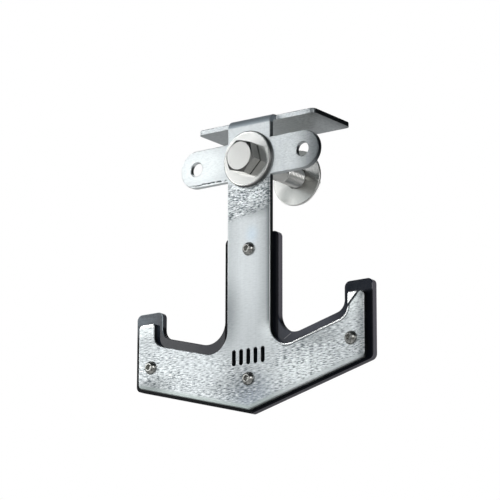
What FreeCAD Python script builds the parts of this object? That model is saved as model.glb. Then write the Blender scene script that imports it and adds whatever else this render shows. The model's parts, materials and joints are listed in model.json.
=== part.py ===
"""Barbell storage hook: a bent steel plate on the front of a square beam, with a plastic liner.

Origin: the axis of the beam bolt, on the plane where the steel lies against the beam.
X runs along the beam, Y runs from the hook into the beam, Z is up. All sizes are millimetres.
"""
import FreeCAD
import Part

import math
import os

from FreeCAD import Vector

# Beam that the hook is made for
BEAM_DEPTH = 60.0
BEAM_HEIGHT = 60.0
BEAM_HOLE_PITCH = 50.0

# Steel plate: top flange, bend, stem and cross arm
STEEL = 4.0
BEND_INSIDE = 3.0
FLANGE_SEAT_GAP = 0.5
FLANGE_WIDTH = 110.0
FLANGE_REACH = 55.0
FLANGE_CORNER = 4.0
FLANGE_NECK = 1.5
FLANGE_NECK_ROOT = 1.3
STEM_WIDTH = 40.0
ARM_HEIGHT = 30.0
ARM_HOLE = 11.0
EDGE_ROUND = 0.8
HOLE_CHAMFER = 0.5

# Anchor: two limbs that rise outwards from a point below the stem, each with an upright tip
ANCHOR_WIDTH = 210.0
ANCHOR_POINT = 195.7
LIMB_SLOPE = 15.1
LIMB_HEIGHT = 36.6
TIP_WIDTH = 15.0
TIP_RISE = 17.6
TIP_CORNER = 2.0
TIP_OUTER_CORNER = 4.0
TIP_ROOT = 10.0
STEM_ROOT = 16.0
BASE_CORNER = 4.0
POINT_ROUND = 3.0

# Row of slots cut through the steel above the lowest screw
SLOT_COUNT = 5
SLOT_WIDTH = 3.6
SLOT_HEIGHT = 12.6
SLOT_PITCH = 6.7
SLOTS_ABOVE_POINT = 41.0

# Plastic liner behind the anchor, larger than the steel by these margins
LINER = 6.0
LINER_SIDE = 5.0
LINER_TIP_INSIDE = 5.0
LINER_TIP_RISE = 9.2
LINER_SADDLE_RISE = 7.5
LINER_STEM_SIDE = 5.0
LINER_BELOW = 2.4
LINER_TONGUE_ABOVE_SCREW = 12.0
LINER_CORNER = 4.5
LINER_STEM_ROOT = 16.0
LINER_TIP_ROOT = 9.0
LINER_CHAMFER = 0.5

# Beam bolt and its washers
BOLT = 16.0
BOLT_HOLE_GAP = 0.5
BOLT_HEAD_FLATS = 24.0
BOLT_HEAD_HEIGHT = 10.0
BOLT_HEAD_FACE = 21.9
BOLT_HEAD_FOOT = 22.0
BOLT_HEAD_FOOT_HEIGHT = 0.6
BOLT_HEAD_TURN = -16.0
BOLT_TIP_OUT = 4.0
BOLT_TIP_CHAMFER = 1.5
WASHER = 44.5
WASHER_THICK = 3.0
WASHER_CHAMFER = 0.9
WASHER_GAP = 0.6
BEAM_NUT_FLATS = 24.0
BEAM_NUT_HEIGHT = 16.0
BEAM_NUT_TURN = 10.0

# Liner screws, their washers and lock nuts
SCREW = 6.0
SCREW_HOLE_GAP = 0.3
SCREW_HEAD = 10.5
SCREW_HEAD_HEIGHT = 3.3
SCREW_HEAD_LAND = 0.3
SCREW_HEAD_FLAT = 6.0
SOCKET_FLATS = 4.0
SOCKET_DEPTH = 2.1
SOCKET_TURN = 30.0
SCREW_TIP_OUT = 2.4
SCREW_TIP_CHAMFER = 0.6
SCREW_BELOW_BEAM = 41.0
SCREW_ABOVE_POINT = 23.7
SCREW_FROM_SIDE = 12.0
SMALL_WASHER = 12.0
SMALL_WASHER_THICK = 1.6
SMALL_WASHER_CHAMFER = 0.3
SMALL_WASHER_GAP = 0.2
SMALL_NUT_FLATS = 10.0
SMALL_NUT_HEIGHT = 6.0
SMALL_NUT_TURN_STEP = 17.0

# Proportions that every lock nut shares
NUT_HEX_SHARE = 0.72
NUT_FACE_SHARE = 0.97
NUT_COLLAR_SHARE = 0.9
RING_RECESS_SHARE = 0.05
RING_SHARE = 0.16
HEX_CHAMFER_ANGLE = 30.0

# An edge counts as sharp from this angle between its faces, and a length below NOTHING counts as none
SHARP_ANGLE = 30.0
NOTHING = 1e-6

# Places that follow from the sizes above
slope = math.tan(math.radians(LIMB_SLOPE))
flange_under = BEAM_HEIGHT / 2 + FLANGE_SEAT_GAP
bend_start = flange_under - BEND_INSIDE
anchor_half = ANCHOR_WIDTH / 2
stem_half = STEM_WIDTH / 2
tip_inside = anchor_half - TIP_WIDTH
liner_half = anchor_half + LINER_SIDE
liner_tip_inside = tip_inside - LINER_TIP_INSIDE
liner_stem_half = stem_half + LINER_STEM_SIDE
screw_side = anchor_half - SCREW_FROM_SIDE
screw_top_z = -BEAM_HEIGHT / 2 - SCREW_BELOW_BEAM


def underside(x):
    """Height of the steel's lower edge at a distance x from the middle."""
    return -ANCHOR_POINT + slope * x


def saddle(x):
    """Height of the steel's saddle at a distance x from the middle."""
    return underside(x) + LIMB_HEIGHT


def limb_middle(x):
    """Height half way between the saddle and the lower edge."""
    return (saddle(x) + underside(x)) / 2


tip_top = saddle(tip_inside) + TIP_RISE
screws = {
    "top": (0.0, screw_top_z),
    "bottom": (0.0, -ANCHOR_POINT + SCREW_ABOVE_POINT),
    "left": (-screw_side, limb_middle(screw_side)),
    "right": (screw_side, limb_middle(screw_side)),
}


def rounded_face(corners, place):
    """Flat face through (u, v, radius) corners, each rounded by its radius and put in space by place."""
    flat = [Vector(u, v, 0) for u, v, _ in corners]
    bends = []
    for i, (_, _, radius) in enumerate(corners):
        back = (flat[i - 1] - flat[i]).normalize()
        ahead = (flat[(i + 1) % len(flat)] - flat[i]).normalize()
        half_angle = back.getAngle(ahead) / 2
        setback = radius / math.tan(half_angle)
        inward = (back + ahead).normalize() * (radius / math.sin(half_angle) - radius)
        bends.append((flat[i] + back * setback, flat[i] + inward, flat[i] + ahead * setback))
    edges = []
    for i, (start, middle, end) in enumerate(bends):
        if corners[i][2] > 0:
            edges.append(Part.Arc(place(start), place(middle), place(end)).toShape())
        after = bends[(i + 1) % len(bends)][0]
        edges.append(Part.makeLine(place(end), place(after)))
    return Part.Face(Part.Wire(edges))


def mirrored(right_half):
    """Corners of a whole outline from its right half; a corner on the middle line counts once."""
    return right_half + [(-u, v, radius) for u, v, radius in reversed(right_half) if u != 0]


def sheet_in_front(corners, y, thickness):
    """Flat sheet that faces the front, from corners in X and Z."""
    face = rounded_face(corners, lambda p: Vector(p.x, y, p.y))
    return face.extrude(Vector(0, thickness, 0))


def rod(diameter, start, end, x=0.0, z=0.0):
    """Round bar along Y."""
    return Part.makeCylinder(diameter / 2, end - start, Vector(x, start, z), Vector(0, 1, 0))


def turned(profile):
    """Solid of revolution about Y from (radius, y) points, each pair joined by a straight line."""
    points = [Vector(radius, y, 0) for radius, y in profile]
    face = Part.Face(Part.makePolygon(points + points[:1]))
    return face.revolve(Vector(0, 0, 0), Vector(0, 1, 0), 360)


def hexagon(flats, start, end, turn=0.0):
    """Hexagonal bar along Y with one corner turned from X towards Z by an angle."""
    reach = flats / math.sqrt(3)
    angles = [math.radians(turn + 60 * i) for i in range(7)]
    corners = [Vector(reach * math.cos(a), start, reach * math.sin(a)) for a in angles]
    return Part.Face(Part.makePolygon(corners)).extrude(Vector(0, end - start, 0))


def sharp_edges(shape, chosen):
    """Edges where two faces meet at a marked angle and whose middle point chosen accepts."""
    found = []
    for edge in shape.Edges:
        middle = edge.valueAt((edge.FirstParameter + edge.LastParameter) / 2)
        normals = []
        for face in shape.ancestorsOfType(edge, Part.Face):
            u, v = face.Surface.parameter(middle)
            normals.append(face.normalAt(u, v))
        sharp = len(normals) == 2 and normals[0].getAngle(normals[1]) > math.radians(SHARP_ANGLE)
        if sharp and chosen(middle):
            found.append(edge)
    return found


def on_outer_side(point):
    """Whether a point of the bent sheet is on its front, on the outside of its bend or on its top."""
    if point.z < bend_start:
        return point.y < -STEEL + NOTHING
    if point.y > BEND_INSIDE:
        return point.z > flange_under + STEEL - NOTHING
    return math.hypot(point.y - BEND_INSIDE, point.z - bend_start) > BEND_INSIDE + STEEL - NOTHING


def deburred_hole(diameter, x, z, chamfer):
    """Cutter for a round hole through the steel with both rims chamfered."""
    radius = diameter / 2
    front = Part.makeCone(radius + chamfer, radius, chamfer, Vector(x, -STEEL, z), Vector(0, 1, 0))
    back = Part.makeCone(radius, radius + chamfer, chamfer, Vector(x, -chamfer, z), Vector(0, 1, 0))
    return rod(diameter, -STEEL, 0, x, z).fuse([front, back])


def upright_slot(x, z):
    """Cutter for one slot with round ends through the steel."""
    straight = SLOT_HEIGHT - SLOT_WIDTH
    corner = Vector(x - SLOT_WIDTH / 2, -STEEL, z - straight / 2)
    middle = Part.makeBox(SLOT_WIDTH, STEEL, straight, corner)
    ends = [rod(SLOT_WIDTH, -STEEL, 0, x, z + side * straight / 2) for side in (-1, 1)]
    return middle.fuse(ends)


def stem_and_anchor():
    """Flat steel from the bend down to the anchor's point."""
    return sheet_in_front(mirrored([
        (stem_half, bend_start, 0),
        (stem_half, saddle(stem_half), STEM_ROOT),
        (tip_inside, saddle(tip_inside), TIP_ROOT),
        (tip_inside, tip_top, TIP_CORNER),
        (anchor_half, tip_top, TIP_OUTER_CORNER),
        (anchor_half, underside(anchor_half), BASE_CORNER),
        (0, -ANCHOR_POINT, POINT_ROUND),
    ]), -STEEL, STEEL)


def cross_arm():
    """Level arm with round ends that lies on the beam."""
    corner = Vector(-BEAM_HOLE_PITCH, -STEEL, -ARM_HEIGHT / 2)
    bar = Part.makeBox(2 * BEAM_HOLE_PITCH, STEEL, ARM_HEIGHT, corner)
    ends = [rod(ARM_HEIGHT, -STEEL, 0, side * BEAM_HOLE_PITCH) for side in (-1, 1)]
    return bar.fuse(ends)


def bend():
    """Quarter turn of the stem over the front edge of the beam."""
    corners = [
        Vector(-stem_half, -STEEL, bend_start),
        Vector(stem_half, -STEEL, bend_start),
        Vector(stem_half, 0, bend_start),
        Vector(-stem_half, 0, bend_start),
    ]
    section = Part.Face(Part.makePolygon(corners + corners[:1]))
    return section.revolve(Vector(0, BEND_INSIDE, bend_start), Vector(1, 0, 0), -90)


def flange():
    """Flat top that rests on the beam."""
    front = BEND_INSIDE + FLANGE_NECK
    corners = mirrored([
        (stem_half, BEND_INSIDE, 0),
        (stem_half, front, FLANGE_NECK_ROOT),
        (FLANGE_WIDTH / 2, front, FLANGE_CORNER),
        (FLANGE_WIDTH / 2, FLANGE_REACH, FLANGE_CORNER),
    ])
    face = rounded_face(corners, lambda p: Vector(p.x, p.y, flange_under))
    return face.extrude(Vector(0, 0, STEEL))


def hook_plate():
    """The steel, cut and bent from one sheet, its outline rounded on the outer side and its holes deburred."""
    plate = stem_and_anchor().fuse([cross_arm(), bend(), flange()]).removeSplitter()
    plate = plate.makeFillet(EDGE_ROUND, sharp_edges(plate, on_outer_side))
    cutters = [deburred_hole(BOLT + 2 * BOLT_HOLE_GAP, 0, 0, HOLE_CHAMFER)]
    for side in (-1, 1):
        cutters.append(deburred_hole(ARM_HOLE, side * BEAM_HOLE_PITCH, 0, HOLE_CHAMFER))
    for x, z in screws.values():
        cutters.append(rod(SCREW + 2 * SCREW_HOLE_GAP, -STEEL, 0, x, z))
    first = -(SLOT_COUNT - 1) / 2 * SLOT_PITCH
    for i in range(SLOT_COUNT):
        cutters.append(upright_slot(first + i * SLOT_PITCH, -ANCHOR_POINT + SLOTS_ABOVE_POINT))
    return plate.cut(cutters)


def liner():
    """The plastic plate: the anchor's outline with a margin, and a tongue up the stem."""
    def upper(x):
        return saddle(x) + LINER_SADDLE_RISE

    def lower(x):
        return underside(x) - LINER_BELOW

    tongue_top = screw_top_z + LINER_TONGUE_ABOVE_SCREW
    tip_end = tip_top + LINER_TIP_RISE
    plate = sheet_in_front(mirrored([
        (liner_stem_half, tongue_top, LINER_CORNER),
        (liner_stem_half, upper(liner_stem_half), LINER_STEM_ROOT),
        (liner_tip_inside, upper(liner_tip_inside), LINER_TIP_ROOT),
        (liner_tip_inside, tip_end, LINER_CORNER),
        (liner_half, tip_end, LINER_CORNER),
        (liner_half, lower(liner_half), LINER_CORNER),
        (0, lower(0), POINT_ROUND),
    ]), 0, LINER)
    rims = sharp_edges(plate, lambda point: abs(point.y - LINER / 2) > LINER / 2 - NOTHING)
    plate = plate.makeChamfer(LINER_CHAMFER, rims)
    return plate.cut([rod(SCREW + 2 * SCREW_HOLE_GAP, 0, LINER, x, z) for x, z in screws.values()])


def beam_bolt():
    """Hexagon bolt that clamps the hook to the beam."""
    seat = -STEEL - WASHER_THICK
    face = seat - BOLT_HEAD_HEIGHT
    foot = seat - BOLT_HEAD_FOOT_HEIGHT
    tip = BEAM_DEPTH + WASHER_THICK + BEAM_NUT_HEIGHT + BOLT_TIP_OUT
    reach = BOLT_HEAD_FLATS / math.sqrt(3)
    drop = (reach - BOLT_HEAD_FACE / 2) * math.tan(math.radians(HEX_CHAMFER_ANGLE))
    envelope = turned([(0, face), (BOLT_HEAD_FACE / 2, face), (reach, face + drop), (reach, foot), (0, foot)])
    head = hexagon(BOLT_HEAD_FLATS, face, foot, BOLT_HEAD_TURN).common(envelope)
    end = BOLT / 2 - BOLT_TIP_CHAMFER
    shank = turned([
        (0, foot),
        (BOLT_HEAD_FOOT / 2, foot),
        (BOLT_HEAD_FOOT / 2, seat),
        (BOLT / 2, seat),
        (BOLT / 2, tip - BOLT_TIP_CHAMFER),
        (end, tip),
        (0, tip),
    ])
    return head.fuse(shank).removeSplitter()


def washer(bore, outside, thickness, chamfer):
    """Flat ring from y = 0 towards the front, with its front rim chamfered."""
    inner = bore / 2
    outer = outside / 2
    return turned([
        (inner, 0),
        (outer, 0),
        (outer, chamfer - thickness),
        (outer - chamfer, -thickness),
        (inner, -thickness),
    ])


def lock_nut(bore, flats, height, turn):
    """Hexagon nut from y = 0 away from the hook, and the plastic ring that its collar holds."""
    reach = flats / math.sqrt(3)
    face = flats / 2 * NUT_FACE_SHARE
    drop = (reach - face) * math.tan(math.radians(HEX_CHAMFER_ANGLE))
    hex_top = height * NUT_HEX_SHARE
    envelope = turned([(0, 0), (face, 0), (reach, drop), (reach, hex_top - drop), (face, hex_top), (0, hex_top)])
    body = hexagon(flats, 0, hex_top, turn).common(envelope)
    collar = flats / 2 * NUT_COLLAR_SHARE
    ring_out = (bore / 2 + collar) / 2
    ring_top = height * (1 - RING_RECESS_SHARE)
    ring_low = ring_top - height * RING_SHARE
    shoulder = (hex_top + height) / 2
    rim = (ring_out + collar) / 2
    cap = turned([(0, hex_top), (collar, hex_top), (collar, shoulder), (rim, height), (0, height)])
    nut = body.fuse(cap).removeSplitter().cut([rod(bore, 0, height), rod(2 * ring_out, ring_low, height)])
    ring = rod(2 * ring_out, ring_low, ring_top).cut(rod(bore, ring_low, ring_top))
    return nut, ring


def screw():
    """Button-head screw whose head seats on the plane y = 0 and whose shank runs along +Y."""
    radius = SCREW_HEAD / 2
    flat = SCREW_HEAD_FLAT / 2
    land = -SCREW_HEAD_LAND
    face = -SCREW_HEAD_HEIGHT
    tip = STEEL + LINER + SMALL_WASHER_THICK + SMALL_NUT_HEIGHT + SCREW_TIP_OUT
    centre = (radius ** 2 + land ** 2 - flat ** 2 - face ** 2) / (2 * (land - face))
    dome = math.hypot(radius, land - centre)
    half_way = (math.atan2(land - centre, radius) + math.atan2(face - centre, flat)) / 2
    bulge = Vector(dome * math.cos(half_way), centre + dome * math.sin(half_way), 0)
    outline = [(flat, face), (0, face), (0, tip), (SCREW / 2 - SCREW_TIP_CHAMFER, tip),
               (SCREW / 2, tip - SCREW_TIP_CHAMFER), (SCREW / 2, 0), (radius, 0), (radius, land)]
    points = [Vector(r, y, 0) for r, y in outline]
    edges = [Part.makeLine(a, b) for a, b in zip(points, points[1:])]
    edges.append(Part.Arc(points[-1], bulge, points[0]).toShape())
    body = Part.Face(Part.Wire(edges)).revolve(Vector(0, 0, 0), Vector(0, 1, 0), 360)
    return body.cut(hexagon(SOCKET_FLATS, face, face + SOCKET_DEPTH, SOCKET_TURN))


def placed(shape, x, y, z):
    """Copy of a shape, moved."""
    copy = shape.copy()
    copy.translate(Vector(x, y, z))
    return copy


def build():
    """All pieces by name."""
    nodes = {
        "hook_plate": hook_plate(),
        "liner": liner(),
        "beam_bolt": beam_bolt(),
    }
    large = washer(BOLT + 2 * WASHER_GAP, WASHER, WASHER_THICK, WASHER_CHAMFER)
    nodes["front_washer"] = placed(large, 0, -STEEL, 0)
    nodes["rear_washer"] = placed(large.mirror(Vector(0, 0, 0), Vector(0, 1, 0)), 0, BEAM_DEPTH, 0)
    nut, ring = lock_nut(BOLT, BEAM_NUT_FLATS, BEAM_NUT_HEIGHT, BEAM_NUT_TURN)
    behind_beam = BEAM_DEPTH + WASHER_THICK
    nodes["beam_nut"] = placed(nut, 0, behind_beam, 0)
    nodes["beam_nut_ring"] = placed(ring, 0, behind_beam, 0)
    small = washer(SCREW + 2 * SMALL_WASHER_GAP, SMALL_WASHER, SMALL_WASHER_THICK, SMALL_WASHER_CHAMFER)
    small = small.mirror(Vector(0, 0, 0), Vector(0, 1, 0))
    behind_liner = LINER + SMALL_WASHER_THICK
    one_screw = screw()
    for i, (name, (x, z)) in enumerate(screws.items()):
        nut, ring = lock_nut(SCREW, SMALL_NUT_FLATS, SMALL_NUT_HEIGHT, SMALL_NUT_TURN_STEP * i)
        nodes["liner_screw_" + name] = placed(one_screw, x, -STEEL, z)
        nodes["liner_washer_" + name] = placed(small, x, LINER, z)
        nodes["liner_nut_" + name] = placed(nut, x, behind_liner, z)
        nodes["liner_nut_ring_" + name] = placed(ring, x, behind_liner, z)
    return nodes


os.makedirs("parts", exist_ok=True)
for name, shape in build().items():
    shape.exportStep("parts/" + name + ".step")
    print(name, "valid" if shape.isValid() else "INVALID", len(shape.Solids), round(shape.Volume, 1))
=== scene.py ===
"""Looks of the barbell storage hook.

Zinc, plastic, steel and nylon finishes, softened rims, screw threads, finer washers, studio and camera.
The frame is in metres: X to the right along the beam, Y into the beam, Z up. Places and sizes on the
part are in millimetres.
"""
import json
import math

import bmesh
import bpy
from mathutils import Matrix, Vector


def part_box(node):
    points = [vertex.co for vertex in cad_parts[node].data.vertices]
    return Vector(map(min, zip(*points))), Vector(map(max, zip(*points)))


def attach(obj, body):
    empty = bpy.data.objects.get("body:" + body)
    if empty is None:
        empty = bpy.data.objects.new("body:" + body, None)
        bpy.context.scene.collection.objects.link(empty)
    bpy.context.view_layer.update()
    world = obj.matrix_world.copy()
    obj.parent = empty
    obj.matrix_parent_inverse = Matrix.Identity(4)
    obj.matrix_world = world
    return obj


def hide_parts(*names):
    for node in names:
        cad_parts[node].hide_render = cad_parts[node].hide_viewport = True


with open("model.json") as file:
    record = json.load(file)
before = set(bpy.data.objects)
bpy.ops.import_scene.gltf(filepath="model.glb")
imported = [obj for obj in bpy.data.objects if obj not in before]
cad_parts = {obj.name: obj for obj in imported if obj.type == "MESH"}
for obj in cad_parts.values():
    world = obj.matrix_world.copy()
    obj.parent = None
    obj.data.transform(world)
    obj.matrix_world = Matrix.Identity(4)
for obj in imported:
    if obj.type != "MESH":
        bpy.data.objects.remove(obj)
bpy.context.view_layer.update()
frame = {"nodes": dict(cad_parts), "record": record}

MM = 0.001

# Camera: where it stands, what lies to its right and above it, its field of view and its reach
CAMERA_PLACE = (1.23568, -1.71521, -0.61518)
CAMERA_RIGHT = (0.811390, 0.584501, 0.002332)
CAMERA_UP = (0.143851, -0.203555, 0.968438)
FOCAL_PIXELS = 2859.14
FRAME_PIXELS = 500.0
SENSOR_MM = 36.0
CAMERA_NEAR = 0.05
CAMERA_FAR = 60.0

# Square lights round the middle of the hook. Each has its angle to the left of the hook's front and
# its angle above level in degrees, its distance and its size in metres, and its power
STUDIO_MIDDLE = (0.0, 0.0, -0.08)
LIGHTS = {
    "key": (39.5, 30.0, 2.6, 0.32, 5.2),
    "panel": (49.3, 5.6, 2.4, 1.15, 10.4),
    "side": (-78.0, 8.0, 2.2, 0.9, 25.0),
    "fill": (-32.0, 5.0, 2.4, 2.1, 7.4),
    "right": (-64.0, 8.0, 2.4, 1.0, 10.0),
    "left": (98.0, 30.0, 2.4, 1.0, 9.0),
    "back": (155.0, 30.0, 2.4, 1.2, 12.0),
    "front": (-2.0, 0.0, 2.4, 1.1, 3.2),
    "rear": (180.0, -2.0, 2.4, 1.2, 6.0),
    "edge": (-96.0, 0.0, 2.4, 1.0, 3.0),
    "top": (155.0, 72.0, 2.4, 1.5, 6.0),
}
NOT_REFLECTED = "side"

# Room: brightest towards one direction, given like a light's, and white where the camera sees it. It
# starts to brighten at the cosine ROOM_DARK_FROM of the angle from that direction
ROOM_LEFT = 38.0
ROOM_ABOVE = 13.0
ROOM_DARK_FROM = -0.1
ROOM_DARK = 0.03
ROOM_BRIGHT = 0.20
ROOM_TINT = (0.86, 0.95, 1.0, 1.0)
WHITE = (1.0, 1.0, 1.0, 1.0)

# Floor
FLOOR_LEVEL = -2.6
FLOOR_SIZE = 40.0
FLOOR_LOOK = {
    "Base Color": (0.80, 0.80, 0.80, 1.0),
    "Roughness": 0.9,
    "Emission Color": WHITE,
    "Emission Strength": 0.28,
}

# Threads
BOLT_THREAD = 16.0
BOLT_PITCH = 2.0
BOLT_THREAD_START = 39.0
BOLT_TIP_CHAMFER = 1.5
SCREW_THREAD = 6.0
SCREW_PITCH = 1.0
SCREW_THREAD_LENGTH = 12.0
SCREW_TIP_CHAMFER = 0.6
THREAD_DEPTH_SHARE = 0.6134
THREAD_SIDES = 48
THREAD_RINGS_PER_TURN = 8
HEAD_OVERLAP = 0.3

# Rims of the bolt's and the screws' heads
BOLT_RIM = 0.3
SCREW_RIM = 0.12
HEAD_RIM_STEPS = 2
FLAT_ANGLE = math.radians(1)
RIM_ANGLE = math.radians(20)

# Softened rims of the other solids. Those that are not named have the nuts' rim
RIMS = {"hook_plate": 0.7, "liner": 0.25, "front_washer": 0.7, "rear_washer": 0.7}
NUT_RIM = 0.25
RIM_STEPS = 3
SOFTENED_ANGLE = math.radians(35)

# Steps round a large washer
WASHER_SIDES = 96

# Points nearer to each other than this are one point, in metres
SAME_POINT = 1e-7
WELDED = 1e-6

# Right saddle of the plate: its slope, the height where its line crosses the middle, and its two roots
SADDLE_SLOPE = 0.2698
SADDLE_FOOT = -159.1
SADDLE_ROOT = (80.0, -127.2)
SADDLE_ROOT_RADIUS = 10.0
STEM_ROOT = (36.0, -132.8)
STEM_ROOT_RADIUS = 16.0

# Ground corner of the right tip: shares of x and z that give the distance past its edge, and a shift
GROUND_EDGE = (-0.722, 0.692, 153.7)
GROUND_TILT = -0.12

# Long scratch on the liner, at 30 degrees: its direction, and where its line and its middle are
SCRATCH_ALONG = (0.866, 0.5, 42.4)
SCRATCH_ASIDE = (-0.5, 0.866, 140.3)

# Colours of the plate
ZINC = ((0.545, 0.575, 0.585), (0.650, 0.680, 0.690))
ZINC_BRUSHED = (0.40, 0.43, 0.45)
ZINC_POINT = (0.24, 0.28, 0.34)
ZINC_BLUISH = (0.50, 0.66, 0.80)
ZINC_LIGHT_AND_HIGHLIGHT = (0.80, 0.84, 0.84)
ZINC_LOWER_EDGE = (0.36, 0.41, 0.39)
ZINC_BRIGHT_FLAKE = (0.92, 0.95, 0.95)
ZINC_DARK_FLAKE = (0.10, 0.12, 0.13)
ZINC_POLISHED_AND_HIGHLIGHT = (0.95, 0.96, 0.95)
ZINC_GROOVE_AND_SHADE = (0.03, 0.035, 0.04)
ZINC_DARK_AND_SHADE = (0.05, 0.06, 0.065)
ZINC_BEND_SHADE = (0.34, 0.39, 0.43)

# Colours of the liner
PLASTIC = ((0.005, 0.007, 0.012), (0.009, 0.013, 0.024))
PLASTIC_MILLED = (0.085, 0.082, 0.094)
PLASTIC_SCUFF_AND_SHEEN = (0.16, 0.205, 0.245)
PLASTIC_SHEEN = (0.10, 0.105, 0.13)
PLASTIC_SCRATCH = (0.24, 0.24, 0.25)
PLASTIC_ROOT_SHADE = (0.004, 0.004, 0.005)
PLASTIC_RIM_HIGHLIGHT = (0.36, 0.42, 0.45)
PLASTIC_RECESS_SHADE = (0.002, 0.002, 0.002)

# Colours of the bolt, nuts and washers
FASTENER = ((0.60, 0.60, 0.58), (0.70, 0.70, 0.68))
FASTENER_SPECK = (0.40, 0.40, 0.38)
FASTENER_TOP_HIGHLIGHT = (0.93, 0.93, 0.91)
FASTENER_CONE_SHADE = (0.06, 0.06, 0.055)
FASTENER_RIM_SHADE = (0.07, 0.07, 0.07)

# Colours of the screws and the nylon rings
STEEL = ((0.33, 0.33, 0.31), (0.47, 0.47, 0.45))
STEEL_DARK_PATCH = (0.08, 0.08, 0.07)
NYLON = ((0.60, 0.62, 0.60), (0.70, 0.71, 0.68))

# Lighter spots, and darker spots of which some are painted shade, on the plate: x, z, half width, half height
# and strength
LIGHT_SPOTS = (
    (50.0, -170.0, 36.0, 18.0, 0.8),
    (19.0, -132.0, 12.0, 20.0, 0.8),
    (93.0, -136.0, 20.0, 30.0, 0.25),
    (-78.0, -158.0, 22.0, 14.0, 0.4),
)
DARK_AND_SHADE_SPOTS = (
    (-21.0, -119.0, 20.0, 40.0, 0.5),
    (6.0, -41.0, 24.0, 9.0, 0.4),
    (-92.0, -167.0, 30.0, 12.0, 0.5),
    (62.0, -148.0, 30.0, 10.0, 0.35),
    (-6.0, -174.0, 30.0, 18.0, 0.3),
    (-97.0, -130.0, 17.0, 22.0, 0.2),
    (2.0, -150.0, 48.0, 70.0, 0.24),
    (-28.0, -175.0, 16.0, 12.0, 0.15),
    (104.0, -116.0, 7.0, 10.0, 0.5),
    (45.0, -154.0, 14.0, 10.0, 0.12),
)


class Finish:
    """A material being made: its shader, and the part's own coordinates in millimetres."""

    def __init__(self, name):
        self.material = bpy.data.materials.new(name)
        self.material.use_nodes = True
        self.tree = self.material.node_tree
        self.shader = self.tree.nodes["Principled BSDF"]
        place = self.tree.nodes.new("ShaderNodeTexCoord")
        to_mm = {0: place.outputs["Object"], 1: (1 / MM, 1 / MM, 1 / MM)}
        self.mm = self.node("ShaderNodeVectorMath", to_mm, operation="MULTIPLY").outputs[0]
        self.normal = place.outputs["Normal"]
        self.x, self.y, self.z = self.split(self.mm)

    def feed(self, socket, value):
        """Links a socket or sets its value."""
        if isinstance(value, bpy.types.NodeSocket):
            self.tree.links.new(value, socket)
        else:
            socket.default_value = value

    def node(self, kind, inputs, **settings):
        """New node with its settings and its inputs by name or number."""
        made = self.tree.nodes.new(kind)
        for name, value in settings.items():
            setattr(made, name, value)
        for name, value in inputs.items():
            self.feed(made.inputs[name], value)
        return made

    def split(self, vector):
        """The X, Y and Z of a vector."""
        return self.node("ShaderNodeSeparateXYZ", {"Vector": vector}).outputs

    def math(self, operation, a, b=0.0):
        """Result of an operation on one or two numbers."""
        return self.node("ShaderNodeMath", {0: a, 1: b}, operation=operation).outputs[0]

    def join(self, operation, first, others):
        """Result of an operation on one number after the other."""
        for other in others:
            first = self.math(operation, first, other)
        return first

    def times(self, first, *others):
        """Product of numbers."""
        return self.join("MULTIPLY", first, others)

    def plus(self, first, *others):
        """Sum of numbers."""
        return self.join("ADD", first, others)

    def largest(self, first, *others):
        """Largest of numbers."""
        return self.join("MAXIMUM", first, others)

    def size(self, value):
        """A number without its sign."""
        return self.math("ABSOLUTE", value)

    def rest(self, share):
        """What is left of 1."""
        return self.math("SUBTRACT", 1.0, share)

    def blend(self, share, a, b):
        """Blend of two numbers."""
        return self.plus(self.times(a, self.rest(share)), self.times(b, share))

    def slanted(self, of_x, of_z, shift=0.0):
        """A share of x plus a share of z plus a shift: the distance from a slanted line."""
        total = self.plus(self.times(self.x, of_x), self.times(self.z, of_z))
        return self.plus(total, shift) if shift else total

    def fade(self, value, start, end, low=0.0, high=1.0):
        """Smooth step from low to high as value goes from start to end."""
        ranges = {"Value": value, "From Min": start, "From Max": end, "To Min": low, "To Max": high}
        return self.node("ShaderNodeMapRange", ranges, interpolation_type="SMOOTHSTEP").outputs[0]

    def noise(self, period, detail=3.0, roughness=0.55, distortion=0.0, shift=0.0, turn=0.0):
        """Noise from 0 to 1 with a period in millimetres along each axis, turned about Y."""
        place = self.mm
        if turn:
            spin = {"Vector": place, "Rotation": (0.0, math.radians(turn), 0.0)}
            place = self.node("ShaderNodeMapping", spin).outputs[0]
        scale = tuple(1 / p for p in period)
        move = {"Vector": place, "Location": (shift,) * 3, "Scale": scale}
        place = self.node("ShaderNodeMapping", move).outputs[0]
        inputs = {"Vector": place, "Scale": 1.0, "Detail": detail, "Roughness": roughness}
        inputs["Distortion"] = distortion
        return self.node("ShaderNodeTexNoise", inputs).outputs["Fac"]

    def distance(self, x, z, across=1.0, up=1.0):
        """Distance from the line along Y through (x, z), counted in the given half sizes."""
        dx = self.math("DIVIDE", self.math("SUBTRACT", self.x, x), across)
        dz = self.math("DIVIDE", self.math("SUBTRACT", self.z, z), up)
        return self.math("SQRT", self.plus(self.times(dx, dx), self.times(dz, dz)))

    def blob(self, x, z, across, up, high=1.0, soft=1.0):
        """Soft spot: high at (x, z), 0 from an ellipse of the given half sizes."""
        return self.fade(self.distance(x, z, across, up), 1.0, 1.0 - soft, 0.0, high)

    def mix(self, share, a, b):
        """Blend of two colours."""
        made = self.node("ShaderNodeMix", {}, data_type="RGBA", clamp_factor=True)
        self.feed(made.inputs["Factor"], share)
        for socket, value in ((made.inputs[6], a), (made.inputs[7], b)):
            self.feed(socket, value if isinstance(value, bpy.types.NodeSocket) else (*value, 1.0))
        return made.outputs[2]

    def bump(self, height, depth, strength=1.0, under=None):
        """Bumped normal from a height of 0 to 1 that stands for a depth in millimetres."""
        inputs = {"Height": height, "Distance": depth * MM, "Strength": strength}
        if under is not None:
            inputs["Normal"] = under
        return self.node("ShaderNodeBump", inputs).outputs[0]

    def done(self, **inputs):
        """Sets the shader's sockets and returns the material."""
        for name, value in inputs.items():
            self.feed(self.shader.inputs[name.replace("_", " ")], value)
        return self.material


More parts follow.
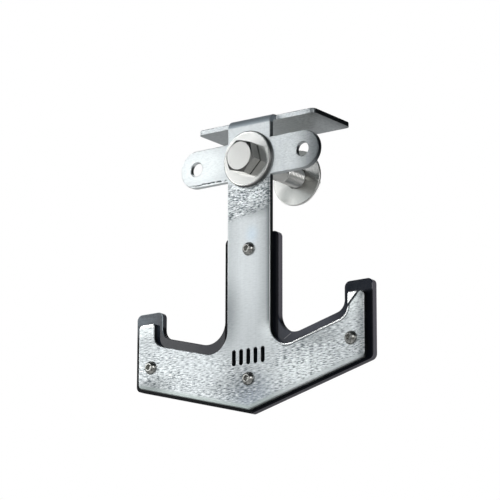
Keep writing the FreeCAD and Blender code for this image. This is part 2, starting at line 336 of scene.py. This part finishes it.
def flaked_area(f, clouds, coarse, lower_edge):
    """Where the zinc shows flakes: below the washer, over the anchor except its middle, and on the arm."""
    border = f.plus(f.slanted(-0.2, 1.0), f.times(coarse, 8.0))
    upper = f.times(f.fade(border, -43.0, -36.0), f.fade(f.z, -14.0, -20.0))
    wavy = f.plus(f.z, f.times(clouds, 24.0))
    anchor = f.times(f.fade(wavy, -104.0, -132.0), f.fade(clouds, 0.3, 0.7, 0.58, 0.92))
    left_corner = f.blob(-94.0, -162.0, 18.0, 11.0)
    both_tips = f.fade(f.size(f.x), 78.0, 90.0, 0.0, 0.6)
    left_of_point = f.blob(-24.0, -180.0, 46.0, 20.0, 0.9, soft=0.7)
    calm = f.blob(-1.0, -141.0, 38.0, 27.0, 0.85, soft=0.6)
    lower = f.largest(anchor, left_corner, both_tips, left_of_point)
    lower = f.times(lower, f.rest(calm), f.rest(lower_edge))
    arm = f.times(f.fade(f.z, -16.0, -6.0), f.fade(f.x, 24.0, 34.0, 0.1, 0.2))
    return f.largest(upper, lower, arm, 0.08)


def ground_corner(f):
    """Ground corner of the right tip: its patch, the groove along its edge, and its depth."""
    past_edge = f.slanted(*GROUND_EDGE)
    on_tip = f.times(f.fade(f.x, 84.0, 86.0), f.fade(f.z, -131.0, -128.0))
    patch = f.times(f.fade(past_edge, 0.3, 1.0), on_tip)
    groove = f.times(f.fade(f.size(past_edge), 1.3, 0.6), on_tip)
    depth = f.times(f.largest(past_edge, 0.0), f.times(on_tip, GROUND_TILT))
    return patch, groove, depth


def saddle_edge(f):
    """Painted highlight along the edge of the right saddle, from root to root, and a line of painted shade
    below it.
    """
    rise = f.slanted(-SADDLE_SLOPE, 1.0, -SADDLE_FOOT)
    at_tip = f.fade(f.x, 82.4, 82.8)
    rise = f.blend(at_tip, rise, f.math("SUBTRACT", SADDLE_ROOT_RADIUS, f.distance(*SADDLE_ROOT)))
    at_stem = f.fade(f.x, 40.3, 40.1)
    rise = f.blend(at_stem, rise, f.math("SUBTRACT", STEM_ROOT_RADIUS, f.distance(*STEM_ROOT)))
    on_slope = f.times(f.fade(f.x, 27.0, 33.0), f.fade(f.x, 82.8, 82.4), f.fade(f.z, -118.0, -124.0))
    on_saddle = f.plus(on_slope, f.times(at_tip, f.fade(f.z, -124.0, -128.0)))
    saddle_highlight = f.times(f.fade(rise, -1.5, -1.3), on_saddle)
    shade = f.times(f.fade(f.size(f.plus(rise, 2.0)), 0.6, 0.3), on_saddle)
    return saddle_highlight, shade


def light_spots_and_highlights(f):
    """Lighter spots of the plate, and painted highlights on the left arm and along the edges of the stem and
    the left tip, each as a strength from 0 to 1.
    """
    left_arm_highlight = f.blob(-46.0, 1.0, 36.0, 20.0, 0.95, soft=0.7)
    stem_right_highlight = f.times(f.fade(f.x, 19.3, 19.6), f.fade(f.size(f.plus(f.z, 76.0)), 60.0, 54.0))
    stem_left_highlight = f.times(f.fade(f.x, -18.8, -19.3), f.fade(f.size(f.plus(f.z, 70.0)), 60.0, 54.0))
    left_tip = f.times(f.fade(f.x, -103.7, -104.2), f.fade(f.z, -112.0, -116.0))
    spots = [f.blob(*spot) for spot in LIGHT_SPOTS]
    return spots + [left_arm_highlight, stem_right_highlight, stem_left_highlight, left_tip]


def dark_spots_and_shade(f):
    """Darker spots of the plate, some of them painted shade, and painted shade along the stem's sides, at the
    arm's end, at the right tip and on the cut edges that face right, each as a strength from 0 to 1.
    """
    on_stem = f.times(f.fade(f.z, -14.0, -20.0), f.fade(f.z, -152.0, -136.0), f.fade(f.size(f.x), 26.0, 22.0))
    right_side = f.times(
        f.plus(f.fade(f.x, 4.0, 20.0, 0.0, 0.4), f.fade(f.x, 15.5, 19.5, 0.0, 0.42)),
        f.fade(f.x, 19.7, 19.3),
        f.fade(f.z, -138.0, -127.0),
    )
    left_side = f.fade(f.x, -6.0, -19.0, 0.0, 0.18)
    stem_side_shade = f.times(f.largest(right_side, left_side), on_stem)
    arm_end_shade = f.times(f.fade(f.x, 38.0, 66.5, 0.0, 0.85), f.fade(f.z, -40.0, -30.0))
    cut_edge_shade = f.fade(f.split(f.normal)[0], 0.6, 0.9, 0.0, 0.92)
    right_tip = f.times(f.fade(f.x, 95.0, 104.5, 0.0, 0.5), f.fade(f.x, 104.6, 104.2))
    spots = [f.blob(*spot) for spot in DARK_AND_SHADE_SPOTS]
    return [stem_side_shade, arm_end_shade, cut_edge_shade, right_tip] + spots


def arm_edge_line(f, coarse, flakes):
    """Broken dark line along the lower edge of the left arm's front."""
    height = f.plus(f.z, f.plus(f.times(coarse, 2.4), 11.8))
    on_arm = f.times(f.fade(f.x, -60.0, -54.0), f.fade(f.x, -19.0, -23.0), f.fade(f.y, -2.0, -3.0))
    return f.times(f.fade(f.size(height), 0.9, 0.3), on_arm, f.fade(flakes, 0.35, 0.5))


def zinc_plate():
    """Bright zinc on rolled steel: plain on the stem, flaked near bolt and anchor, rougher on the bend, with
    painted highlights and painted shade, the bend's darker colour among them.
    """
    f = Finish("zinc_plate")
    fine = f.noise((2.4, 2.4, 0.66), detail=1.5, roughness=0.6, distortion=0.1)
    wide = f.noise((4.0, 4.0, 0.76), detail=1.4, roughness=0.55, distortion=0.1)
    high = f.largest(f.fade(f.z, -100.0, -70.0), f.fade(f.x, 84.0, 98.0, 0.0, 0.8))
    flakes = f.blend(high, wide, fine)
    coarse = f.noise((7.0, 7.0, 3.6), detail=2.0, shift=7.0)
    clouds = f.noise((34.0, 34.0, 22.0), detail=2.0, shift=3.0)
    grain = f.noise((0.7, 0.7, 0.5), detail=2.0, shift=11.0)
    brushed = f.noise((1.3, 6.0, 30.0), detail=2.0, shift=5.0)

    lower_edge = f.fade(f.plus(f.z, f.times(f.size(f.x), -SADDLE_SLOPE)), -191.0, -194.0)
    patch, groove, ground = ground_corner(f)
    saddle_highlight, shade = saddle_edge(f)
    left_tip = f.times(f.fade(f.x, -86.0, -89.0), f.fade(f.z, -120.5, -118.5))
    burnished_and_highlight = f.largest(patch, left_tip, saddle_highlight)
    smooth = f.rest(burnished_and_highlight)
    flaked = f.times(flaked_area(f, clouds, coarse, lower_edge), smooth)
    bend = f.times(f.fade(f.z, 26.6, 28.4), f.fade(f.y, 3.6, 3.0))

    colour = f.mix(clouds, *ZINC)
    colour = f.mix(f.fade(brushed, 0.55, 0.3, 0.0, 0.12), colour, ZINC_BRUSHED)
    colour = f.mix(f.blob(2.0, -186.0, 36.0, 24.0, 0.65), colour, ZINC_POINT)
    colour = f.mix(f.blob(3.0, -60.0, 9.0, 11.0, 0.35), colour, ZINC_BLUISH)
    # Lighter spots, and painted highlights on the left arm and along the edges of the stem and the left tip
    for light in light_spots_and_highlights(f):
        colour = f.mix(light, colour, ZINC_LIGHT_AND_HIGHLIGHT)
    colour = f.mix(f.times(lower_edge, f.fade(f.x, 10.0, 40.0, 0.8, 0.3)), colour, ZINC_LOWER_EDGE)
    colour = f.mix(f.times(f.fade(flakes, 0.55, 0.68), flaked), colour, ZINC_BRIGHT_FLAKE)
    colour = f.mix(f.times(f.fade(flakes, 0.52, 0.36), flaked), colour, ZINC_DARK_FLAKE)
    # Polished ground corner and left tip, and a painted highlight along the right saddle's edge
    colour = f.mix(burnished_and_highlight, colour, ZINC_POLISHED_AND_HIGHLIGHT)
    # Painted shade: a dark line below the saddle's painted highlight
    colour = f.mix(f.times(shade, 0.75), colour, ZINC_GROOVE_AND_SHADE)
    # Dark groove of the ground corner, and the dark line along the arm's lower edge
    colour = f.mix(f.largest(groove, arm_edge_line(f, coarse, flakes)), colour, ZINC_GROOVE_AND_SHADE)
    # Darker spots, and painted shade along the stem's sides, at the arm's end, at the right tip and on the
    # cut edges that face right
    for darkening in dark_spots_and_shade(f):
        colour = f.mix(darkening, colour, ZINC_DARK_AND_SHADE)
    # Painted shade: the bend's colour is darkened, besides its rougher finish
    colour = f.mix(f.times(bend, 0.85), colour, ZINC_BEND_SHADE)

    roughness = f.plus(
        f.fade(clouds, 0.2, 0.8, 0.31, 0.39),
        f.times(f.math("SUBTRACT", grain, 0.5), smooth, 0.1),
        f.times(burnished_and_highlight, -0.1),
        f.times(bend, 0.2),
    )
    normal = f.bump(ground, 1.0, 1.0, f.bump(f.times(grain, smooth), 0.01, 0.3))
    normal = f.bump(f.times(flakes, flaked), 0.35, 0.7, normal)
    return f.done(Base_Color=colour, Metallic=1.0, Roughness=roughness, Normal=normal)


def plastic_scratches(f):
    """Sparse fine scratches in two directions, and the long one."""
    one_way = f.noise((44.0, 5.0, 0.35), detail=1.0, distortion=0.25, shift=5.0, turn=33.0)
    other_way = f.noise((30.0, 5.0, 0.4), detail=1.0, distortion=0.25, shift=9.0, turn=4.0)
    where = f.fade(f.noise((16.0, 16.0, 16.0), detail=1.0, shift=4.0), 0.5, 0.66)
    fine = f.times(f.largest(f.fade(one_way, 0.71, 0.76), f.fade(other_way, 0.73, 0.78)), where)
    across = f.fade(f.size(f.slanted(*SCRATCH_ASIDE)), 0.4, 0.15)
    along = f.fade(f.size(f.slanted(*SCRATCH_ALONG)), 4.2, 3.0)
    return f.largest(fine, f.times(across, along))


def plastic_recess(f, facing_back):
    """Painted shade on the front of the liner close beside the steel, where little light comes in."""
    low = f.plus(f.z, f.times(f.size(f.x), -0.27))
    beside_tongue = f.fade(f.size(f.math("SUBTRACT", f.size(f.x), 22.0)), 3.6, 2.6)
    beside_right_tip = f.times(f.fade(f.x, 103.0, 104.0), f.fade(f.z, -115.0, -119.0))
    beside_left_tip = f.times(f.fade(f.x, -103.6, -104.4), f.fade(f.z, -116.0, -134.0))
    recess = f.largest(f.fade(low, -190.0, -194.0), beside_tongue, beside_right_tip, beside_left_tip)
    return f.times(recess, f.fade(facing_back, 0.9, 0.6))


def black_plastic():
    """Black polyethylene: satin faces with fine scratches, scuffs at the left tip, and milled edges, with
    painted sheen at the left tip and right of the stem, painted shade in the saddles' roots and beside the
    steel, and a painted highlight on the left tip's rim.
    """
    f = Finish("black_plastic")
    clouds = f.noise((25.0, 25.0, 25.0), detail=3.0, shift=2.0)
    grain = f.noise((0.5, 0.5, 0.5), detail=2.0)
    scratches = plastic_scratches(f)
    facing_back = f.split(f.normal)[1]
    flat = f.size(facing_back)
    milled = f.fade(flat, 0.6, 0.2)
    ripples = f.times(f.noise((1.1, 60.0, 1.1), detail=2.0, shift=1.0), milled)
    scuffs = f.noise((7.0, 7.0, 4.0), detail=4.0, roughness=0.65, shift=12.0)
    scuffs_and_sheen = f.times(f.blob(-106.0, -110.0, 34.0, 24.0), f.fade(scuffs, 0.34, 0.6, 0.42, 1.0))
    left_root = f.blob(-83.0, -127.0, 11.0, 11.0, soft=0.5)
    right_root = f.blob(30.0, -135.0, 12.0, 12.0, soft=0.5)
    left_tip_side = f.blob(-83.0, -114.0, 8.0, 20.0, 0.65, soft=0.4)
    root_shade = f.times(f.largest(left_root, right_root, left_tip_side), milled)
    rim = f.times(f.fade(flat, 0.99, 0.93), f.fade(flat, 0.1, 0.4))
    rim_highlight = f.times(rim, f.blob(-94.0, -108.0, 24.0, 26.0, soft=0.5))
    recess = plastic_recess(f, facing_back)
    left_saddle = f.times(f.fade(f.x, -72.0, -40.0), f.fade(f.x, -20.0, -32.0, 0.0, 0.25))

    colour = f.mix(clouds, *PLASTIC)
    colour = f.mix(milled, colour, PLASTIC_MILLED)
    # Scuffs at the left tip, lightened further as a painted sheen
    colour = f.mix(f.times(scuffs_and_sheen, 0.75), colour, PLASTIC_SCUFF_AND_SHEEN)
    colour = f.mix(f.blob(60.0, -138.0, 48.0, 26.0, 0.7), colour, PLASTIC_SHEEN)
    colour = f.mix(f.times(scratches, 0.5), colour, PLASTIC_SCRATCH)
    # Painted shade in the roots of the saddles and beside the left tip
    colour = f.mix(root_shade, colour, PLASTIC_ROOT_SHADE)
    # Painted highlight on the liner's rim round the left tip
    colour = f.mix(f.times(rim_highlight, 0.7), colour, PLASTIC_RIM_HIGHLIGHT)
    # Painted shade on the front beside the steel
    colour = f.mix(f.times(recess, 0.7, f.rest(milled)), colour, PLASTIC_RECESS_SHADE)

    roughness = f.plus(f.fade(clouds, 0.2, 0.8, 0.12, 0.19), f.times(milled, 0.16), f.times(root_shade, 0.3))
    darkening = f.largest(recess, f.times(root_shade, 0.85), left_saddle)
    shine = f.fade(darkening, 0.0, 1.0, 0.43, 0.06)
    height = f.math("SUBTRACT", f.times(grain, 0.25), scratches)
    normal = f.bump(height, 0.03, 0.4, f.bump(ripples, 0.05, 0.6))
    return f.done(Base_Color=colour, Roughness=roughness, Normal=normal, Specular_IOR_Level=shine)


def bright_zinc():
    """Bright zinc on turned and forged fasteners, with painted shade on the chamfer round the bolt's round
    face, a painted highlight on the front washer's upper part, and painted shade on the front washer's rim.
    """
    f = Finish("bright_zinc")
    clouds = f.noise((9.0, 9.0, 9.0), detail=3.0, shift=6.0)
    grain = f.noise((0.8, 0.8, 0.8), detail=3.0, roughness=0.6)
    specks = f.noise((1.6, 1.6, 1.6), detail=2.0, shift=8.0)
    on_washer = f.times(f.fade(f.y, -8.5, -7.5), f.fade(f.y, 0.0, -3.5))
    top = f.times(f.fade(f.z, 6.0, 15.0), on_washer)
    radius = f.distance(0.0, 0.0)
    flat = f.size(f.split(f.normal)[1])
    cone_shade = f.times(f.fade(radius, 10.75, 11.05), f.fade(flat, 0.35, 0.6), f.fade(f.y, -13.5, -14.0))
    rim = f.times(f.fade(radius, 21.2, 21.9), f.fade(f.x, -17.0, -9.0), on_washer)

    colour = f.mix(clouds, *FASTENER)
    colour = f.mix(f.fade(specks, 0.66, 0.74, 0.0, 0.3), colour, FASTENER_SPECK)
    # Painted highlight on the upper part of the front washer
    colour = f.mix(f.times(top, 0.8), colour, FASTENER_TOP_HIGHLIGHT)
    # Painted shade on the chamfer round the bolt head's face
    colour = f.mix(f.times(cone_shade, 0.8), colour, FASTENER_CONE_SHADE)
    # Painted shade on the front washer's rim, except on its left
    colour = f.mix(f.times(rim, 0.8), colour, FASTENER_RIM_SHADE)
    roughness = f.fade(clouds, 0.2, 0.8, 0.18, 0.26)
    normal = f.bump(grain, 0.012, 0.3)
    return f.done(Base_Color=colour, Metallic=1.0, Roughness=roughness, Normal=normal)


def screw_steel():
    """Plain stainless steel of the liner screws."""
    f = Finish("screw_steel")
    clouds = f.noise((3.0, 3.0, 3.0), detail=3.0)
    grain = f.noise((0.4, 0.4, 0.4), detail=2.0, shift=3.0)
    dark_patches = f.noise((1.5, 1.5, 1.5), detail=2.0, shift=7.0)
    colour = f.mix(clouds, *STEEL)
    colour = f.mix(f.fade(dark_patches, 0.48, 0.62, 0.0, 0.65), colour, STEEL_DARK_PATCH)
    roughness = f.fade(clouds, 0.2, 0.8, 0.14, 0.22)
    return f.done(Base_Color=colour, Metallic=1.0, Roughness=roughness, Normal=f.bump(grain, 0.01, 0.3))


def nylon():
    """White nylon of the nuts' rings."""
    f = Finish("nylon")
    clouds = f.noise((4.0, 4.0, 4.0), detail=3.0)
    grain = f.noise((0.3, 0.3, 0.3), detail=2.0, shift=3.0)
    colour = f.mix(clouds, *NYLON)
    roughness = f.fade(clouds, 0.2, 0.8, 0.42, 0.55)
    return f.done(Base_Color=colour, Roughness=roughness, Normal=f.bump(grain, 0.01, 0.3))


def stand_in(mesh, node, ending):
    """Makes a piece of a finished mesh, in the place of a solid."""
    bmesh.ops.recalc_face_normals(mesh, faces=mesh.faces)
    made = bpy.data.meshes.new(node + ending)
    mesh.to_mesh(made)
    mesh.free()
    made.shade_smooth()
    made.set_sharp_from_angle(angle=RIM_ANGLE)
    piece = bpy.data.objects.new(node + ending, made)
    bpy.context.scene.collection.objects.link(piece)
    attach(piece, "root")
    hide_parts(node)
    return piece


def thread_radius(along, turned_by, major, pitch, start, tip, chamfer):
    """Radius of a V thread at a distance along its axis, with a run-out at the start and a chamfered tip."""
    phase = ((along - start) / pitch - turned_by) % 1.0
    depth = THREAD_DEPTH_SHARE * pitch * min(1.0, (along - start) / pitch)
    # Crest and root are flat over an eighth of the pitch, and the flanks rise between them
    profile = min(1.0, max(0.0, abs(2 * phase - 1) * 4 / 3 - 1 / 6))
    envelope = major / 2 - max(0.0, along - (tip - chamfer))
    return min(major / 2 - depth * (1 - profile), envelope)


def point_round(centre, radius, angle, along):
    """Point in metres at an angle about an axis along Y, from millimetres."""
    place = Vector((radius * math.cos(angle), along, radius * math.sin(angle)))
    return (Vector(centre) + place) * MM


def add_threaded_rod(mesh, centre, major, pitch, back, start, tip, chamfer):
    """Adds a closed rod along Y: plain from back to start, threaded from start to tip."""
    turns = math.ceil((tip - start) / pitch) + 1
    rings = []
    for j in range(-THREAD_RINGS_PER_TURN, turns * THREAD_RINGS_PER_TURN + 1):
        ring = []
        for i in range(THREAD_SIDES):
            share = i / THREAD_SIDES
            along = min(tip, max(start, start + (j / THREAD_RINGS_PER_TURN + share) * pitch))
            radius = thread_radius(along, share, major, pitch, start, tip, chamfer)
            ring.append(mesh.verts.new(point_round(centre, radius, 2 * math.pi * share, along)))
        rings.append(ring)
    for j in range(len(rings) - 1):
        for i in range(THREAD_SIDES):
            # After a full turn the thread joins the ring that lies one pitch further on
            last = i == THREAD_SIDES - 1
            ahead = THREAD_RINGS_PER_TURN if last else 0
            far = rings[min(j + ahead, len(rings) - 1)]
            far_up = rings[min(j + 1 + ahead, len(rings) - 1)]
            k = 0 if last else i + 1
            corners = [rings[j][i], far[k], far_up[k], rings[j + 1][i]]
            if len({tuple(round(c, 9) for c in v.co) for v in corners}) > 2:
                mesh.faces.new(corners)
    foot = []
    for i in range(THREAD_SIDES):
        angle = 2 * math.pi * i / THREAD_SIDES
        foot.append(mesh.verts.new(point_round(centre, major / 2, angle, back)))
    for i in range(THREAD_SIDES):
        k = (i + 1) % THREAD_SIDES
        mesh.faces.new([foot[i], foot[k], rings[0][k], rings[0][i]])
    mesh.faces.new(foot)
    mesh.faces.new(list(reversed(rings[-1])))


def threaded(node, seat, rim, major, pitch, start, chamfer):
    """Piece that replaces a fastener: the head as it is up to its seat, and a rod with a real thread."""
    low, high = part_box(node)
    centre = ((low.x + high.x) / 2 / MM, 0.0, (low.z + high.z) / 2 / MM)
    mesh = bmesh.new()
    mesh.from_mesh(frame["nodes"][node].data)
    bmesh.ops.remove_doubles(mesh, verts=mesh.verts, dist=SAME_POINT)
    everything = mesh.verts[:] + mesh.edges[:] + mesh.faces[:]
    cut = (0, (seat + HEAD_OVERLAP) * MM, 0)
    bmesh.ops.bisect_plane(mesh, geom=everything, plane_co=cut, plane_no=(0, 1, 0), clear_outer=True)
    bmesh.ops.holes_fill(mesh, edges=[edge for edge in mesh.edges if edge.is_boundary])
    bmesh.ops.dissolve_limit(mesh, angle_limit=FLAT_ANGLE, verts=mesh.verts[:], edges=mesh.edges[:])
    sharp = [edge for edge in mesh.edges if edge.calc_face_angle(0.0) > RIM_ANGLE]
    bmesh.ops.bevel(
        mesh, geom=sharp, offset=rim * MM, segments=HEAD_RIM_STEPS, profile=0.5, affect="EDGES",
        clamp_overlap=True)
    add_threaded_rod(mesh, centre, major, pitch, seat, start, high.y / MM, chamfer)
    bmesh.ops.remove_doubles(mesh, verts=mesh.verts, dist=SAME_POINT)
    piece = stand_in(mesh, node, "_threaded")
    piece.modifiers.new("even", "WEIGHTED_NORMAL").keep_sharp = True
    return piece


def turned(node):
    """Piece that replaces a washer: the same profile, turned about its own axis in finer steps."""
    low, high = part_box(node)
    middle = (low + high) / 2
    profile = set()
    for vertex in frame["nodes"][node].data.vertices:
        radius = math.hypot(vertex.co.x - middle.x, vertex.co.z - middle.z)
        profile.add((round(radius, 5), round(vertex.co.y, 5)))
    # The profile's corners are put in order round its middle
    inside = sum((Vector(point) for point in profile), Vector((0.0, 0.0))) / len(profile)
    profile = sorted(profile, key=lambda point: math.atan2(point[1] - inside[1], point[0] - inside[0]))
    mesh = bmesh.new()
    rings = []
    for i in range(WASHER_SIDES):
        angle = 2 * math.pi * i / WASHER_SIDES
        ring = []
        for radius, y in profile:
            place = (middle.x + radius * math.cos(angle), y, middle.z + radius * math.sin(angle))
            ring.append(mesh.verts.new(place))
        rings.append(ring)
    for i in range(WASHER_SIDES):
        ahead = rings[(i + 1) % WASHER_SIDES]
        for j in range(len(profile)):
            k = (j + 1) % len(profile)
            mesh.faces.new([rings[i][j], rings[i][k], ahead[k], ahead[j]])
    return stand_in(mesh, node, "_turned")


def soften(piece, width):
    """Rounds the sharp rims of a solid without changing its mesh."""
    joined = piece.modifiers.new("joined", "WELD")
    joined.merge_threshold = WELDED
    rims = piece.modifiers.new("rims", "BEVEL")
    rims.width = width * MM
    rims.segments = RIM_STEPS
    rims.limit_method = "ANGLE"
    rims.angle_limit = SOFTENED_ANGLE
    piece.modifiers.new("even", "WEIGHTED_NORMAL")


def dress(piece, material):
    """Gives a piece one material."""
    if not piece.material_slots:
        piece.data.materials.append(material)
    piece.material_slots[0].material = material


def dress_all():
    """Materials and softened rims on the solids, threads on bolt and screws, finer large washers."""
    finishes = {
        "zinc_plate": zinc_plate(),
        "black_plastic": black_plastic(),
        "zinc_fastener": bright_zinc(),
        "screw_steel": screw_steel(),
        "nylon": nylon(),
    }
    slots = {row["node"]: row["material_slot"] for row in frame["record"]["subparts"]}
    for node, piece in frame["nodes"].items():
        dress(piece, finishes[slots[node]])
        soften(piece, RIMS.get(node, NUT_RIM))
    bolt = threaded(
        "beam_bolt", seat=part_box("front_washer")[0].y / MM, rim=BOLT_RIM, major=BOLT_THREAD,
        pitch=BOLT_PITCH, start=BOLT_THREAD_START, chamfer=BOLT_TIP_CHAMFER)
    dress(bolt, finishes["zinc_fastener"])
    for node in ("front_washer", "rear_washer"):
        washer = turned(node)
        dress(washer, finishes["zinc_fastener"])
        soften(washer, RIMS[node])
    plate_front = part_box("hook_plate")[0].y / MM
    for node in sorted(frame["nodes"]):
        if node.startswith("liner_screw_"):
            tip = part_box(node)[1].y / MM
            screw = threaded(
                node, seat=plate_front, rim=SCREW_RIM, major=SCREW_THREAD,
                pitch=SCREW_PITCH, start=tip - SCREW_THREAD_LENGTH, chamfer=SCREW_TIP_CHAMFER)
            dress(screw, finishes["screw_steel"])


def towards(left, above):
    """Direction at an angle to the left of the hook's front and an angle above level, in degrees."""
    left = math.radians(left)
    above = math.radians(above)
    return Vector((-math.sin(left) * math.cos(above), -math.cos(left) * math.cos(above), math.sin(above)))


def lights():
    """Square soft lights that shine at the middle of the hook."""
    for name, (left, above, distance, size, power) in LIGHTS.items():
        lamp = bpy.data.lights.new(name, "AREA")
        lamp.energy = power
        lamp.size = size
        holder = bpy.data.objects.new(name, lamp)
        away = towards(left, above)
        holder.location = Vector(STUDIO_MIDDLE) + away * distance
        holder.rotation_mode = "QUATERNION"
        holder.rotation_quaternion = away.to_track_quat("Z", "Y")
        holder.visible_camera = False
        holder.visible_glossy = name != NOT_REFLECTED
        bpy.context.scene.collection.objects.link(holder)


def room():
    """Dim room that is brighter towards the key light, and plain white for the camera."""
    world = bpy.data.worlds.new("room")
    world.use_nodes = True
    tree = world.node_tree
    place = tree.nodes.new("ShaderNodeTexCoord")
    facing = tree.nodes.new("ShaderNodeVectorMath")
    facing.operation = "DOT_PRODUCT"
    facing.inputs[1].default_value = towards(ROOM_LEFT, ROOM_ABOVE)
    tree.links.new(place.outputs["Generated"], facing.inputs[0])
    level = tree.nodes.new("ShaderNodeMapRange")
    level.interpolation_type = "SMOOTHSTEP"
    level.inputs["From Min"].default_value = ROOM_DARK_FROM
    level.inputs["From Max"].default_value = 1.0
    level.inputs["To Min"].default_value = ROOM_DARK
    level.inputs["To Max"].default_value = ROOM_BRIGHT
    tree.links.new(facing.outputs["Value"], level.inputs["Value"])
    background = tree.nodes["Background"]
    background.inputs["Color"].default_value = ROOM_TINT
    tree.links.new(level.outputs[0], background.inputs["Strength"])
    white = tree.nodes.new("ShaderNodeBackground")
    white.inputs["Color"].default_value = WHITE
    seen = tree.nodes.new("ShaderNodeLightPath")
    either = tree.nodes.new("ShaderNodeMixShader")
    tree.links.new(seen.outputs["Is Camera Ray"], either.inputs[0])
    tree.links.new(background.outputs[0], either.inputs[1])
    tree.links.new(white.outputs[0], either.inputs[2])
    tree.links.new(either.outputs[0], tree.nodes["World Output"].inputs["Surface"])
    bpy.context.scene.world = world


def floor():
    """Plain pale floor far below the hook."""
    mesh = bmesh.new()
    bmesh.ops.create_grid(mesh, x_segments=1, y_segments=1, size=FLOOR_SIZE / 2)
    made = bpy.data.meshes.new("floor")
    mesh.to_mesh(made)
    mesh.free()
    ground = bpy.data.objects.new("floor", made)
    ground.location = (0.0, 0.0, FLOOR_LEVEL)
    bpy.context.scene.collection.objects.link(ground)
    pale = bpy.data.materials.new("floor")
    pale.use_nodes = True
    shader = pale.node_tree.nodes["Principled BSDF"]
    for name, value in FLOOR_LOOK.items():
        shader.inputs[name].default_value = value
    made.materials.append(pale)


def camera():
    """Camera at the photograph's place and field of view."""
    lens = bpy.data.cameras.new("camera")
    lens.sensor_width = SENSOR_MM
    lens.lens = FOCAL_PIXELS / FRAME_PIXELS * SENSOR_MM
    lens.clip_start = CAMERA_NEAR
    lens.clip_end = CAMERA_FAR
    holder = bpy.data.objects.new("camera", lens)
    right = Vector(CAMERA_RIGHT).normalized()
    up = Vector(CAMERA_UP).normalized()
    axes = Matrix((right, up, right.cross(up))).transposed()
    holder.matrix_world = Matrix.Translation(CAMERA_PLACE) @ axes.to_4x4()
    bpy.context.scene.collection.objects.link(holder)
    bpy.context.scene.camera = holder


bpy.context.scene.view_settings.view_transform = "Standard"
dress_all()
lights()
room()
floor()
camera()
